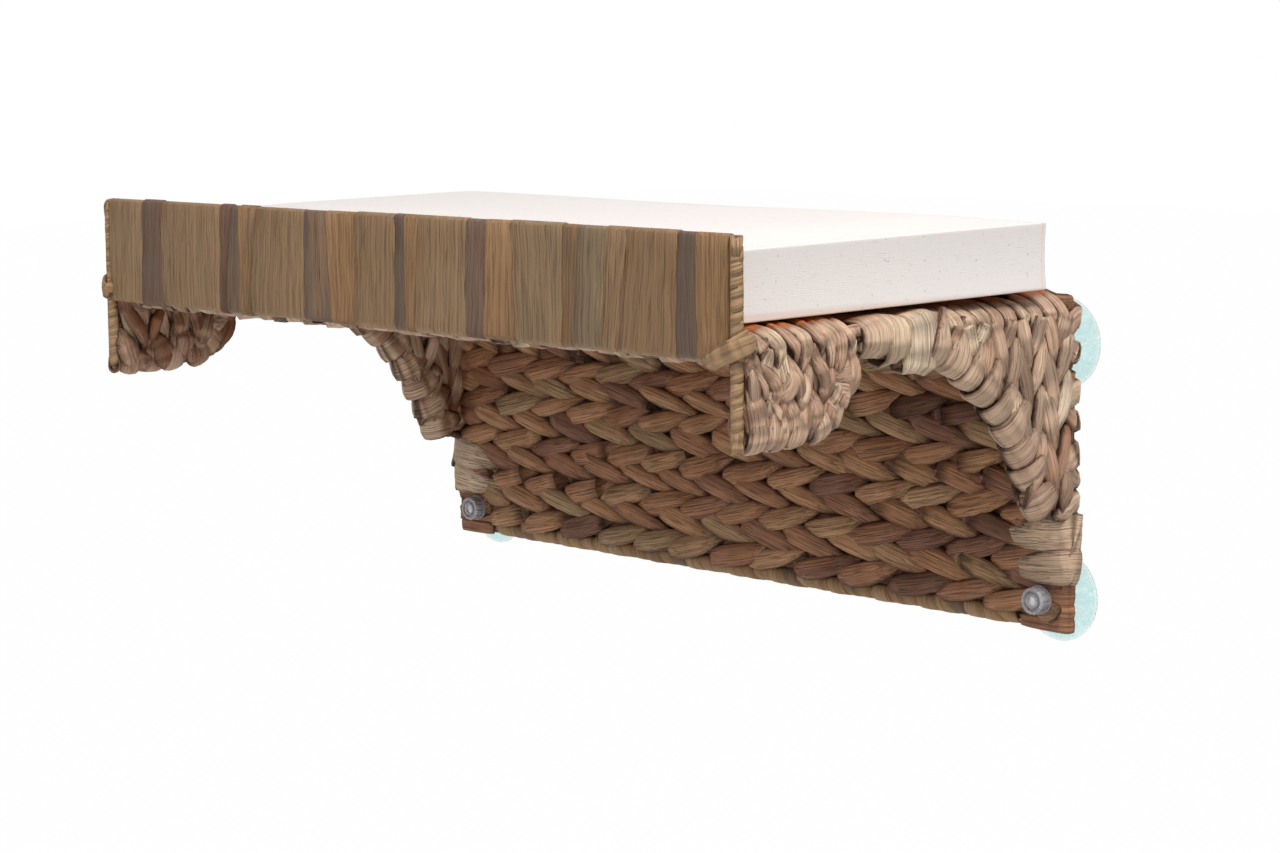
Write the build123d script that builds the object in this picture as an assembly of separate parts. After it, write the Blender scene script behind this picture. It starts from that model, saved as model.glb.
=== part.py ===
from build123d import *
import os
from math import atan2, cos, hypot, pi, radians, sin, tan

os.makedirs("parts", exist_ok=True)

# Window mounted cat perch, mm. The origin is the middle of the four suction cups on the glass,
# +Y points into the glass, +Z is up, and the apron faces -Y.

# Driving sizes
front_width = 610.0          # across the two wrapped front posts
back_width = 585.0           # across the back panel
reach = 326.7                # glass to the front of the apron
side_height = 211.0          # foot of the back panel to the top of the side rails
apron_height = 70.5
apron_rise = 54.5            # top of the side rails to the top of the apron
cup_inset_foot = 19.0        # foot of the back panel to the middle of a lower cup
cup_inset_top = 31.0         # top of the side rails down to the middle of an upper cup

# Wire frame
rod_d = 5.0
wire_d = 3.0                 # thin wires that the braids are woven over
wire_pitch = 40.5
rod_slack = 0.1              # leaf round a rod, on the radius
weld_gap = 0.05              # a coped rod's end round the rod that it is welded to
tab_thick = 2.0
tab_reach = 11.0             # edge of a corner tab past its stud
tab_corner = 5.0
tab_hole_gap = 0.3           # corner tab round its stud, on the radius

# Leaf and braid
leaf_thick = 1.2             # one flat dried leaf
deck_thick = 16.0
back_thick = 11.0
side_thick = 12.0
deck_braids = 11
back_braids = 7
ear_strands = 7
bracket_strands = 10
braid_round = 3.2            # rounding along a braid's edges
seat_gap = 0.2               # between pieces of leaf work that lie side by side
deck_rise = 3.0              # top of the deck over the top of the side rails
front_wrap_depth = 14.0
front_wrap_drop = 20.0       # top of the side rails to the foot of the deck's front wrap
foot_wrap_d = 11.0           # wrapping round the back panel's bottom rod
corner_wrap_reach = 17.0     # edge of a flat corner wrap past its stud, along X
corner_wrap_rise = 15.0      # the same along Z

# Side panels: the ear behind each front post, and the bracket under the back of each side rail
ear_length = 96.5            # middle of the front post to the back of the ear
ear_depth = 67.0             # below the top of the side rails
ear_corner = 39.5
arch_gap = 5.0               # back of the ear to where the arch rod leaves the rail
arch_turn = 68.0             # degrees
arch_foot_radius = 12.0
arch_foot_turn = 50.0        # degrees, back the other way
arch_end_run = 31.0          # last stretch of the arch rod, along the side, to the back post
bracket_hem = 1.8            # leaf under the arch rod's last stretch
rail_wrap_length = 23.6      # one of the broad wraps between ear and bracket
rail_wrap_round = 4.5
rail_wrap_drop_shares = (0.33, 0.40, 0.51)   # of ear_depth, front to back

# Leaf strips round the apron, left to right, and the knots at its lower corners
apron_strip_shares = (42, 24, 12, 52, 10, 14, 14, 56, 22, 36, 32, 8, 8, 52, 14, 10, 32, 30, 6, 24, 34, 42, 20)
strip_gap = 0.3
tie_d = 11.0
tie_height = 9.0
tie_round = 1.2

# Cushion
cushion_width = 555.0
cushion_depth = 259.0
cushion_thick = 41.0
cushion_crown = 4.0          # rise of the middle of each face over its seams
crown_share = 0.36           # of the cushion's depth, from a seam to the flat of the crown
cushion_draw = 2.5           # the sides' waist, drawn in from the seams
cushion_corner = 14.0
cushion_shift = 17.0         # middle of the cushion, right of the middle of the deck
cushion_front_gap = 20.1     # apron to the middle of the cushion's front edge
cushion_turn = -2.3          # degrees about Z, as it lies
cushion_gap = 0.3            # cushion over the deck
cover_thick = 1.4
foam_slack = 0.1
crown_steps = 4
side_steps = 4

# Suction cups, studs, washers and nuts
cup_radius = 29.0
cup_height = 10.2
cup_rim = 2.5                # flat ring that meets the glass
cup_lip = 1.0
cup_dish = 2.4               # hollow of the cup at its middle
cup_shoulder = 5.6           # height where the cup's cone meets its hub
cup_waist_share = 0.42       # of the way from lip to shoulder, where the cone is hollowest
hub_radius = 9.0
stud_d = 6.0
stud_gap = 0.2               # leaf round a stud, on the radius
stud_head_d = 12.0
stud_head_thick = 1.8
stud_head_inset = 3.6        # glass to the stud's head
stud_inset = 1.0             # end of the stud inside the nut's face
running_gap = 0.08           # washer and nut round the stud, on the radius
washer_d = 18.5
washer_thick = 1.2
nut_d = 17.5
nut_height = 7.5
nut_round = 1.2
nut_flutes = 12
flute_radius = 1.1
nut_dish_inner = 4.6         # ring shaped hollow in the nut's face, inner and outer radius
nut_dish_outer = 6.6
nut_dish_deep = 2.6
nut_side_gap = 0.25          # washer to the inner face of the side panel beside it

# Places worked out from the sizes
cup_spacing_z = side_height - cup_inset_foot - cup_inset_top
foot_z = -cup_spacing_z / 2 - cup_inset_foot
top_z = foot_z + side_height
rod_z = top_z - side_thick / 2
apron_top_z = top_z + apron_rise
apron_thick = rod_d + 2 * leaf_thick
apron_low_z = apron_top_z - apron_height + apron_thick / 2
apron_high_z = apron_top_z - apron_thick / 2
post_x = front_width / 2 - apron_thick / 2
post_y = -reach + apron_thick / 2
post_foot_z = top_z - ear_depth
back_x = back_width / 2 - side_thick / 2
back_y = -cup_height - back_thick / 2
back_front_y = back_y - back_thick / 2
foot_rod_z = foot_z + foot_wrap_d / 2
taper = atan2(post_x - back_x, back_y - post_y)
rail_length = hypot(post_x - back_x, back_y - post_y)
deck_front_y = post_y + apron_thick / 2 + seat_gap
deck_top_z = top_z + deck_rise
front_rod_y = deck_front_y + front_wrap_depth / 2
stud_length = cup_height + back_thick + washer_thick + nut_height - stud_inset - stud_head_inset

# The cups stand as far out as the side panels, which lean in or out, leave room for their nuts
nut_front_y = back_front_y - washer_thick - nut_height
side_lean = min((back_y - back_front_y) * tan(taper), (back_y - nut_front_y) * tan(taper))
side_inner_x = back_x + side_lean - side_thick / 2 / cos(taper)
cup_spacing_x = 2 * (side_inner_x - nut_side_gap - washer_d / 2)

# The arch rod: a long arc off the rail, a short one back, and a straight run to the back post
arch_start = ear_length + arch_gap
arch_end_turn = arch_turn - arch_foot_turn
foot_bend_run = arch_foot_radius * (sin(radians(arch_turn)) - sin(radians(arch_end_turn)))
foot_bend_drop = arch_foot_radius * (cos(radians(arch_end_turn)) - cos(radians(arch_turn)))
arch_radius = (rail_length - arch_start - foot_bend_run - arch_end_run) / sin(radians(arch_turn))
arch_middle_z = rod_z - rod_d - arch_radius
arch_foot_z = arch_middle_z + arch_radius * cos(radians(arch_turn)) - foot_bend_drop
arch_end_z = arch_foot_z - arch_end_run * tan(radians(arch_end_turn))

# Each side panel is drawn with X along the side from the front post and Z up, then laid in its plane
side_frame = Plane(origin=(post_x, post_y, 0), x_dir=(-sin(taper), cos(taper), 0), z_dir=(0, 0, 1))


def rail_x(y):
    """Distance of the side rail's middle from the perch's middle plane."""
    return post_x - (y - post_y) * tan(taper)


def round_bar(start, end, radius):
    """Straight round bar between two points."""
    axis = Vector(end) - Vector(start)
    seat = Plane(origin=start, z_dir=axis)
    return seat * Cylinder(radius, axis.length, align=(Align.CENTER, Align.CENTER, Align.MIN))


def box_between(low, high):
    """Box given by its two opposite corners."""
    size = Vector(high) - Vector(low)
    middle = (Vector(low) + Vector(high)) / 2
    return Pos(*middle) * Box(size.X, size.Y, size.Z)


def cut(solid, cutters):
    """Solid less each cutter that comes near it."""
    bounds = solid.bounding_box()
    for cutter in cutters:
        if cutter.bounding_box().overlaps(bounds):
            solid = solid - cutter
    return solid


def mirrored(solid):
    """The same piece on the perch's other side."""
    return mirror(solid, about=Plane.YZ)


def both_sides(solid):
    """A right side piece and its mirror image."""
    return [solid, mirrored(solid)]


def grouped(pieces):
    """Separate solids held together as one node."""
    return Compound([solid for piece in pieces for solid in piece.solids()])


# Wire frame: a margin gives the same rod fatter, as the hole that the leaf work needs round it

def front_post(margin=0.0):
    """Upright rod at the right front corner, from the ear's foot to the apron's top."""
    low = (post_x, post_y, post_foot_z + leaf_thick)
    return round_bar(low, (post_x, post_y, apron_top_z - leaf_thick), rod_d / 2 + margin)


def back_post(margin=0.0):
    """Upright rod at the right corner of the back panel."""
    low = (back_x, back_y, foot_rod_z - rod_d / 2)
    return round_bar(low, (back_x, back_y, rod_z + rod_d / 2), rod_d / 2 + margin)


def cross_rod(half_length, y, z, margin=0.0):
    """Rod across the perch."""
    return round_bar((-half_length, y, z), (half_length, y, z), rod_d / 2 + margin)


def apron_rod(z, margin=0.0):
    """Rod along the top or bottom of the apron."""
    return cross_rod(post_x, post_y, z, margin)


def back_rod(z, margin=0.0):
    """Rod along the top or bottom of the back panel."""
    return cross_rod(back_x, back_y, z, margin)


def deck_front_rod(margin=0.0):
    """Rod along the front of the deck, from rail to rail."""
    return cross_rod(rail_x(front_rod_y), front_rod_y, rod_z, margin)


def side_rail(margin=0.0):
    """Rod under the top edge of the right side, from front post to back post."""
    return side_frame * round_bar((0, 0, rod_z), (rail_length, 0, rod_z), rod_d / 2 + margin)


def side_sweep(edges, margin):
    """Bent rod along edges drawn in the right side's plane."""
    path = side_frame * (Plane.XZ * Wire(edges))
    section = Plane(origin=path @ 0, z_dir=path % 0) * Circle(rod_d / 2 + margin)
    return sweep(section, path=path)


def ear_rod(margin=0.0):
    """Rod round the foot and back of the right ear, from the post up to the rail."""
    inset = side_thick / 2
    bend_s = ear_length - ear_corner
    low = Line((0, post_foot_z + inset), (bend_s, post_foot_z + inset))
    corner = JernArc(low @ 1, low % 1, ear_corner - inset, 90)
    back = Line(corner @ 1, (ear_length - inset, rod_z))
    return side_sweep([low, corner, back], margin)


def arch_rod(margin=0.0):
    """Rod that leaves the right rail in a long arc and ends on the back post."""
    arc = JernArc((arch_start, rod_z - rod_d), (1, 0), arch_radius, -arch_turn)
    bend = JernArc(arc @ 1, arc % 1, arch_foot_radius, arch_foot_turn)
    last = Line(bend @ 1, (rail_length, arch_end_z))
    return side_sweep([arc, bend, last], margin)


def wire_places(half_width):
    """Places along X of the thin wires that fit between the outer rods."""
    each_side = int((half_width - wire_pitch / 2) / wire_pitch)
    return [wire_pitch * n for n in range(-each_side, each_side + 1)]


def deck_wires(margin=0.0):
    """Thin wires of the deck, from its front rod to the back panel's top rod."""
    radius = wire_d / 2 + margin
    places = wire_places(rail_x(back_y))
    return [round_bar((x, front_rod_y, rod_z), (x, back_y, rod_z), radius) for x in places]


def back_wires(margin=0.0):
    """Thin upright wires of the back panel, from its bottom rod to its top rod."""
    radius = wire_d / 2 + margin
    return [round_bar((x, back_y, foot_rod_z), (x, back_y, rod_z), radius) for x in wire_places(back_x)]


def cup_places():
    """The four cups by name, each with its place along X and Z."""
    return {
        f"{level}_{side}": (side_sign * cup_spacing_x / 2, level_sign * cup_spacing_z / 2)
        for level, level_sign in (("lower", -1), ("upper", 1))
        for side, side_sign in (("left", -1), ("right", 1))
    }


def stud_bar(x, z, radius):
    """Bar on a stud's axis, through the whole back panel and the hub of its cup."""
    return round_bar((x, -stud_head_inset - stud_length, z), (x, -stud_head_inset, z), radius)


def corner_tab(x, z, margin=0.0):
    """Flat plate between back post and cross rod, drilled for a stud; a margin leaves out the hole."""
    side = 1 if x > 0 else -1
    level = 1 if z > 0 else -1
    rod_edge = rod_z - rod_d / 2 if z > 0 else foot_rod_z + rod_d / 2
    outer_x = side * (back_x - rod_d / 2)
    inner_x = x - side * (tab_reach + margin)
    free_z = z - level * (tab_reach + margin)
    half = tab_thick / 2 + margin
    low = (min(inner_x, outer_x), back_y - half, min(rod_edge, free_z))
    plate = box_between(low, (max(inner_x, outer_x), back_y + half, max(rod_edge, free_z)))
    corner = plate.edges().filter_by(Axis.Y).sort_by_distance((inner_x, back_y, free_z))[0]
    plate = fillet(corner, tab_corner)
    return plate if margin else plate - stud_bar(x, z, stud_d / 2 + tab_hole_gap)


# Leaf work

def front_post_wrap():
    """Leaf wound up the right front post, closed over its ends."""
    sleeve = round_bar((post_x, post_y, post_foot_z), (post_x, post_y, apron_top_z), apron_thick / 2)
    crossing = 2 * rod_slack
    rods = [front_post(rod_slack), side_rail(crossing), ear_rod(crossing)]
    return sleeve - rods - [apron_rod(apron_low_z, crossing), apron_rod(apron_high_z, crossing)]


def corner_tie():
    """Knot round the right front post over the apron's lower corner."""
    half = apron_thick / 2
    low_z = apron_low_z - half
    ring = Pos(post_x, post_y, low_z + tie_height) * Cylinder(tie_d / 2, tie_height)
    ring = fillet(ring.edges().filter_by(GeomType.CIRCLE), tie_round)
    ring -= Pos(post_x, post_y, low_z + tie_height) * Cylinder(half + rod_slack, 2 * tie_height)
    far_y = post_y + tie_d
    apron = box_between((0, post_y - half, low_z), (post_x - half, far_y, apron_top_z))
    inner_side = box_between((0, post_y, low_z), (post_x, far_y, apron_top_z))
    behind = box_between((0, post_y + half, low_z), (front_width, far_y, apron_top_z))
    return ring - [apron, inner_side, behind, side_rail(rod_slack), apron_rod(apron_low_z, rod_slack)]


def apron_strips():
    """Flat leaf strips side by side, each looped round the apron's two rods."""
    span = 2 * post_x - apron_thick
    separation = apron_high_z - apron_low_z
    outline = SlotCenterToCenter(separation, apron_thick, rotation=90)
    outline -= SlotCenterToCenter(separation, rod_d + 2 * rod_slack, rotation=90)
    middle_z = (apron_high_z + apron_low_z) / 2
    strips = []
    left = -span / 2
    for share in apron_strip_shares:
        width = span * share / sum(apron_strip_shares)
        start = Plane(origin=(left + strip_gap / 2, post_y, middle_z), x_dir=(0, 1, 0), z_dir=(1, 0, 0))
        strips.append(extrude(start * outline, width - strip_gap))
        left += width
    return grouped(strips)


def deck_bar(near, far, low_z):
    """Braid across the deck between two places along Y, with its upper and lower edges rounded."""
    inset = side_thick / 2 + seat_gap
    x0, x1 = rail_x(near) - inset, rail_x(far) - inset
    plan = Polyline((-x0, near), (x0, near), (x1, far), (-x1, far), close=True)
    bar = extrude(Pos(0, 0, low_z) * make_face(plan), deck_top_z - low_z)
    flat_edges = bar.faces().filter_by(Axis.Z).edges()
    return fillet(flat_edges, braid_round)


def deck_front_wrap():
    """Leaf wound round the deck's front rod, hanging just below the apron."""
    bar = deck_bar(deck_front_y, deck_front_y + front_wrap_depth, top_z - front_wrap_drop)
    return cut(bar, [deck_front_rod(rod_slack)] + deck_wires(rod_slack))


def deck_weave():
    """Braids of the deck, side by side from its front wrap to the back panel."""
    first = deck_front_y + front_wrap_depth
    pitch = (back_front_y - first) / deck_braids
    cutters = deck_wires(rod_slack)
    low_z = deck_top_z - deck_thick
    return grouped(
        cut(deck_bar(first + n * pitch, first + (n + 1) * pitch, low_z), cutters) for n in range(deck_braids)
    )


def corner_box(x, z, gap=0.0):
    """The block that a flat corner wrap fills, with an optional gap on its inner sides."""
    side = 1 if x > 0 else -1
    level = 1 if z > 0 else -1
    inner_x = x - side * (corner_wrap_reach + gap)
    outer_x = side * (back_width / 2 + gap)
    inner_z = z - level * (corner_wrap_rise + gap)
    outer_z = top_z + gap if z > 0 else foot_z - gap
    low = (min(inner_x, outer_x), back_front_y - gap, min(inner_z, outer_z))
    return box_between(low, (max(inner_x, outer_x), back_y + back_thick / 2 + gap, max(inner_z, outer_z)))


def corner_wrap(x, z):
    """Flat leaf wrap over a corner of the back panel, where a cup sits."""
    block = corner_box(x, z)
    rods = both_sides(back_post(rod_slack)) + both_sides(side_rail(rod_slack))
    rods += [back_rod(rod_z, rod_slack), back_rod(foot_rod_z, rod_slack)]
    return cut(block, rods + [corner_tab(x, z, rod_slack), stud_bar(x, z, stud_d / 2 + stud_gap)])


def back_weave():
    """Braids of the back panel from the foot wrap up, notched round the corner wraps."""
    first = foot_z + foot_wrap_d + seat_gap
    pitch = (top_z - first) / back_braids
    cutters = [back_rod(rod_z, rod_slack)] + deck_wires(rod_slack) + back_wires(rod_slack)
    for rod in (back_post(rod_slack), side_rail(rod_slack), arch_rod(rod_slack)):
        cutters += both_sides(rod)
    cutters += [corner_box(x, z, seat_gap) for x, z in cup_places().values()]
    braids = []
    for n in range(back_braids):
        low = (-back_width / 2, back_front_y, first + n * pitch)
        bar = box_between(low, (back_width / 2, back_y + back_thick / 2, first + (n + 1) * pitch))
        bar = fillet(bar.faces().filter_by(Axis.Y).edges(), braid_round)
        braids.append(cut(bar, cutters))
    return grouped(braids)


def back_foot_wrap():
    """Narrow strips wound round the back panel's bottom rod, between the lower corner wraps."""
    half = cup_spacing_x / 2 - corner_wrap_reach - seat_gap
    sleeve = round_bar((-half, back_y, foot_rod_z), (half, back_y, foot_rod_z), foot_wrap_d / 2)
    return cut(sleeve, [back_rod(foot_rod_z, rod_slack)] + back_wires(rod_slack))


def side_strands(outline, start, end, count, cutters):
    """Upright strands of the right side that fill an outline, with rounded upright edges."""
    pitch = (end - start) / count
    low_z = outline.bounding_box().min.Y
    slab = extrude(Plane.XZ * outline, side_thick, both=True)
    strands = []
    for n in range(count):
        low = (start + n * pitch, -side_thick / 2, low_z)
        column = box_between(low, (start + (n + 1) * pitch, side_thick / 2, top_z))
        column = fillet(column.edges().filter_by(Axis.Z), braid_round)
        strands.append(cut(side_frame * (column & slab), cutters))
    return grouped(strands)


def outline_between(start, end, low_z):
    """Rectangle in a side's plane, from a height up to the top of the rails."""
    return Pos((start + end) / 2, (low_z + top_z) / 2) * Rectangle(end - start, top_z - low_z)


def ear_weave():
    """Strands of the right ear, behind the front post."""
    start = apron_thick / 2 + seat_gap
    outline = outline_between(start, ear_length, post_foot_z)
    outline = fillet(outline.vertices().sort_by_distance((ear_length, post_foot_z, 0))[0], ear_corner)
    cutters = [side_rail(rod_slack), ear_rod(rod_slack), deck_front_rod(2 * rod_slack)]
    return side_strands(outline, start, ear_length, ear_strands, cutters)


def bracket_start():
    """Where the bracket begins along the side."""
    return ear_length + len(rail_wrap_drop_shares) * rail_wrap_length


def bracket_weave():
    """Strands of the right bracket, above the arch rod and in front of the back panel."""
    start = bracket_start()
    end = (back_front_y - post_y) / cos(taper) - side_thick * tan(taper) / 2 - seat_gap
    outline = outline_between(start, end, arch_end_z - rod_d / 2 - bracket_hem)
    outline -= Pos(arch_start, arch_middle_z) * Circle(arch_radius - side_thick / 2)
    return side_strands(outline, start, end, bracket_strands, [side_rail(rod_slack), arch_rod(rod_slack)])


def rail_wraps():
    """Broad wraps round the right rail and the start of its arch rod."""
    cutters = [side_rail(rod_slack), arch_rod(rod_slack), ear_rod(rod_slack)]
    wraps = []
    for n, share in enumerate(rail_wrap_drop_shares):
        start = ear_length + n * rail_wrap_length + seat_gap
        low = (start, -side_thick / 2, top_z - share * ear_depth)
        wrap = box_between(low, (start + rail_wrap_length - seat_gap, side_thick / 2, top_z))
        wrap = fillet(wrap.edges().filter_by(Axis.X), rail_wrap_round)
        wraps.append(cut(side_frame * wrap, cutters))
    return grouped(wraps)


# Cushion

def cushion_body(margin=0.0):
    """Box cushion with crowned faces and drawn-in sides; a margin gives the same form smaller."""
    flat = crown_share * cushion_depth
    thick = cushion_thick - 2 * margin
    crown = []
    for n in range(crown_steps + 1):
        angle = radians(90 * n / crown_steps)
        crown.append((cushion_crown * (1 - cos(angle)), flat * (1 - sin(angle))))
    sides = []
    for n in range(1, side_steps):
        z = cushion_crown + (thick - 2 * cushion_crown) * n / side_steps
        sides.append((z, cushion_draw * sin(pi * n / side_steps)))
    top = [(thick - z, inset) for z, inset in reversed(crown)]
    sections = []
    for z, inset in crown + sides + top:
        shrink = 2 * (inset + margin)
        outline = RectangleRounded(cushion_width - shrink, cushion_depth - shrink, cushion_corner - margin)
        sections.append(Pos(0, 0, z + margin) * outline)
    return loft(sections, ruled=True)


def cushion_seat(body):
    """A cushion piece laid on the deck, shifted and turned as it lies."""
    y = post_y + apron_thick / 2 + cushion_front_gap + cushion_depth / 2
    return Pos(cushion_shift, y, deck_top_z + cushion_gap) * Rot(0, 0, cushion_turn) * body


# Suction cups and their fasteners, each built along +Z from the glass and turned to face the room

def cup_seat(x, z, piece):
    """A cup piece at its place on the glass."""
    return Plane(origin=(x, 0, z), x_dir=(1, 0, 0), z_dir=(0, -1, 0)) * piece


def stud():
    """Round headed stud moulded into a cup's hub."""
    align = (Align.CENTER, Align.CENTER, Align.MIN)
    head = Pos(0, 0, stud_head_inset) * Cylinder(stud_head_d / 2, stud_head_thick, align=align)
    return head + Pos(0, 0, stud_head_inset) * Cylinder(stud_d / 2, stud_length, align=align)


def suction_cup():
    """Soft cup: a flat rim on the glass, a hollow cone and a hub that holds the stud."""
    waist_r = cup_radius + (hub_radius - cup_radius) * cup_waist_share
    waist_z = cup_lip + (cup_shoulder - cup_lip) * cup_waist_share ** 2
    rim_inner = cup_radius - cup_rim
    cone = ThreePointArc((cup_radius, cup_lip), (waist_r, waist_z), (hub_radius, cup_shoulder))
    hub = Polyline((hub_radius, cup_shoulder), (hub_radius, cup_height), (0, cup_height), (0, cup_dish))
    dish_rise = (rim_inner ** 2 + cup_dish ** 2) / (2 * cup_dish)
    dish_r = rim_inner * 3 / 5
    dish_z = cup_dish - dish_rise + (dish_rise ** 2 - dish_r ** 2) ** (1 / 2)
    dish = ThreePointArc((0, cup_dish), (dish_r, dish_z), (rim_inner, 0))
    rim = Polyline((rim_inner, 0), (cup_radius, 0), (cup_radius, cup_lip))
    profile = make_face(Wire([cone, *hub.edges(), dish, *rim.edges()]))
    return revolve(Plane.XZ * profile, Axis.Z) - stud()


def washer():
    """Flat washer between leaf work and nut."""
    low_z = cup_height + back_thick
    ring = Circle(washer_d / 2) - Circle(stud_d / 2 + running_gap)
    return extrude(Pos(0, 0, low_z) * ring, washer_thick)


def nut():
    """Clear thumb nut with a fluted side and a dished face."""
    low_z = cup_height + back_thick + washer_thick
    align = (Align.CENTER, Align.CENTER, Align.MIN)
    body = Pos(0, 0, low_z) * Cylinder(nut_d / 2, nut_height, align=align)
    outer = body.edges().filter_by(GeomType.CIRCLE).sort_by(Axis.Z)[-1]
    body = fillet(outer, nut_round)
    ring = Circle(nut_dish_outer) - Circle(nut_dish_inner)
    body -= extrude(Pos(0, 0, low_z + nut_height - nut_dish_deep) * ring, nut_dish_deep)
    flute = Cylinder(flute_radius, nut_height, align=align)
    places = PolarLocations(nut_d / 2 + flute_radius / 2, nut_flutes)
    flutes = [Pos(0, 0, low_z) * place * flute for place in places]
    return body - flutes - Pos(0, 0, low_z) * Cylinder(stud_d / 2 + running_gap, nut_height, align=align)


def frame_nodes():
    """Rods, thin wires and corner tabs, each coped to the rods that it is welded to."""
    front_posts = both_sides(front_post(weld_gap))
    back_posts = both_sides(back_post(weld_gap))
    rails = both_sides(side_rail(weld_gap))
    nodes = {
        "apron_top_rod": apron_rod(apron_high_z) - front_posts,
        "apron_bottom_rod": apron_rod(apron_low_z) - front_posts,
        "back_top_rod": back_rod(rod_z) - back_posts - rails,
        "back_bottom_rod": back_rod(foot_rod_z) - back_posts,
        "deck_front_rod": deck_front_rod() - rails,
        "deck_wires": grouped(wire - [deck_front_rod(), back_rod(rod_z)] for wire in deck_wires()),
        "back_wires": grouped(wire - [back_rod(foot_rod_z), back_rod(rod_z)] for wire in back_wires()),
    }
    right = {
        "front_post": front_post(),
        "back_post": back_post(),
        "side_rail": side_rail() - front_posts - back_posts,
        "ear_rod": ear_rod() - front_post(weld_gap) - side_rail(weld_gap),
        "arch_rod": arch_rod() - back_post(weld_gap) - side_rail(weld_gap),
    }
    for name, solid in right.items():
        nodes[f"{name}_right"] = solid
        nodes[f"{name}_left"] = mirrored(solid)
    for name, (x, z) in cup_places().items():
        nodes[f"corner_tab_{name}"] = corner_tab(x, z)
    return nodes


def leaf_nodes():
    """Everything that is wound or woven from leaf."""
    nodes = {
        "apron_strips": apron_strips(),
        "deck_front_wrap": deck_front_wrap(),
        "deck_weave": deck_weave(),
        "back_weave": back_weave(),
        "back_foot_wrap": back_foot_wrap(),
    }
    right = {
        "front_post_wrap": front_post_wrap(),
        "corner_tie": corner_tie(),
        "ear_weave": ear_weave(),
        "rail_wraps": rail_wraps(),
        "bracket_weave": bracket_weave(),
    }
    for name, solid in right.items():
        nodes[f"{name}_right"] = solid
        nodes[f"{name}_left"] = mirrored(solid)
    for name, (x, z) in cup_places().items():
        nodes[f"corner_wrap_{name}"] = corner_wrap(x, z)
    return nodes


def cup_nodes():
    """The four cups with their studs, washers and nuts."""
    pieces = {"suction_cup": suction_cup(), "cup_stud": stud(), "cup_washer": washer(), "cup_nut": nut()}
    return {
        f"{kind}_{name}": cup_seat(x, z, piece)
        for kind, piece in pieces.items()
        for name, (x, z) in cup_places().items()
    }


def cushion_nodes():
    """Cotton cover and the foam in it."""
    cover = cushion_body() - cushion_body(cover_thick)
    foam = cushion_body(cover_thick + foam_slack)
    return {"cushion_cover": cushion_seat(cover), "cushion_foam": cushion_seat(foam)}


for node, shape in {**frame_nodes(), **leaf_nodes(), **cup_nodes(), **cushion_nodes()}.items():
    export_step(shape, f"parts/{node}.step")
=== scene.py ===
import random
from math import atan2, copysign, cos, hypot, pi, radians, sin, sqrt

import bmesh
import bpy
from mathutils import Matrix, Vector


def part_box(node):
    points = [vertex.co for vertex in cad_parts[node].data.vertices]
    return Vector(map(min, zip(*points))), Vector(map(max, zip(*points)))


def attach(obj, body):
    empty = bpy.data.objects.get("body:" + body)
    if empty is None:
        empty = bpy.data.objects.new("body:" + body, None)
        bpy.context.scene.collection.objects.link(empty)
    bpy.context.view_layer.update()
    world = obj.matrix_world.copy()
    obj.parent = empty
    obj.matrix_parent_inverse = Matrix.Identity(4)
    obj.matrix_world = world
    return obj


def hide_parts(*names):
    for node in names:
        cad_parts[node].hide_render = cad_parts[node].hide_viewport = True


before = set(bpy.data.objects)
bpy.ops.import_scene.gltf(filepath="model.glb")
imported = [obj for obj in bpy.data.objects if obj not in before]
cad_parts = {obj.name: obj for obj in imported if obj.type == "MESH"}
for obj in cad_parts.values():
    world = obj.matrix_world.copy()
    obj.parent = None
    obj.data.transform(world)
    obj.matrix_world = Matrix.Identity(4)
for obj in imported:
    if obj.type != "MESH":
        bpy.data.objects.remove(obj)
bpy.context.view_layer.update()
scene = bpy.context.scene
scene.view_settings.view_transform = "Standard"


# View: the camera stands about two metres off the right front corner, a little above the deck,
# and looks slightly down on the perch

def placed(name, data):
    """A new object of the scene."""
    made = bpy.data.objects.new(name, data)
    scene.collection.objects.link(made)
    return made


camera = placed("camera", bpy.data.cameras.new("camera"))
camera.data.sensor_width = 36
camera.data.lens = 83.73
camera.matrix_world = (
    Matrix.Translation((1.430747, -1.474742, 0.270198))
    @ Matrix.Rotation(0.808565, 4, "Z")
    @ Matrix.Rotation(pi / 2 - 0.128899, 4, "X")
    @ Matrix.Rotation(-0.0081988, 4, "Z")
)
scene.camera = camera


# Room: one large soft lamp high on the right, a weak one in front, even light from all round,
# and a pale floor well below, as under a perch on a window

def paint(red, green, blue):
    """A swatch's colour, 0 to 255, as the light that it reflects."""
    levels = [level / 255 for level in (red, green, blue)]
    return tuple(v / 12.92 if v < 0.04045 else ((v + 0.055) / 1.055) ** 2.4 for v in levels) + (1.0,)


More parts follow.
